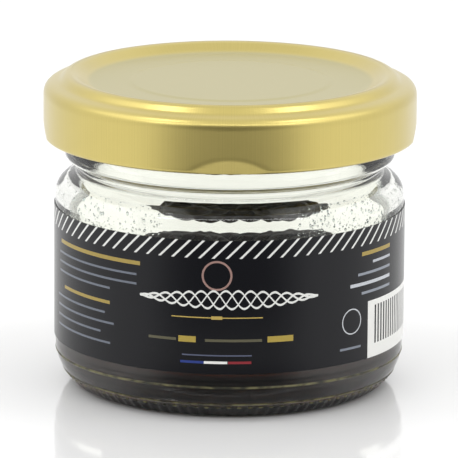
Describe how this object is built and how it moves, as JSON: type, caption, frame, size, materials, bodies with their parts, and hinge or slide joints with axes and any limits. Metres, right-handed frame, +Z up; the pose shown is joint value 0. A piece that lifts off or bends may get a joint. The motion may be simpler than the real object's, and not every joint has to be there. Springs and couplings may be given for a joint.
{
  "type": "jar of black truffle",
  "caption": "Small round glass preserve jar with a gold twist-off lid and a dark wrap-round label, holding a warty black truffle in a little juice.",
  "frame": {"origin": "centre of the ring that the jar stands on", "axes": "+Z up through the lid, -Y out of the middle of the label's front, +X to the right of someone facing the label"},
  "size_m": [0.0556, 0.0556, 0.047],
  "materials": {
    "glass": "clear, glossy",
    "label_film": "printed film, semi-gloss",
    "truffle_skin": "rough, warty, moist",
    "truffle_juice": "dark brown liquid",
    "sealing_compound": "smooth, matt",
    "gold_lacquer": "gold-lacquered tinplate, finely brushed"
  },
  "bodies": {
    "jar": {"glass_jar": "glass", "wrap_label": "label_film", "truffle": "truffle_skin", "juice": "truffle_juice"},
    "lid": {"lid_shell": "gold_lacquer", "lid_gasket": "sealing_compound"}
  },
  "joints": [
    {"name": "lid_turn", "type": "hinge", "parent": "jar", "child": "lid", "pos_m": [0, 0, 0.0385], "axis": [0, 0, 1], "range_deg": [0, 60]}
  ]
}
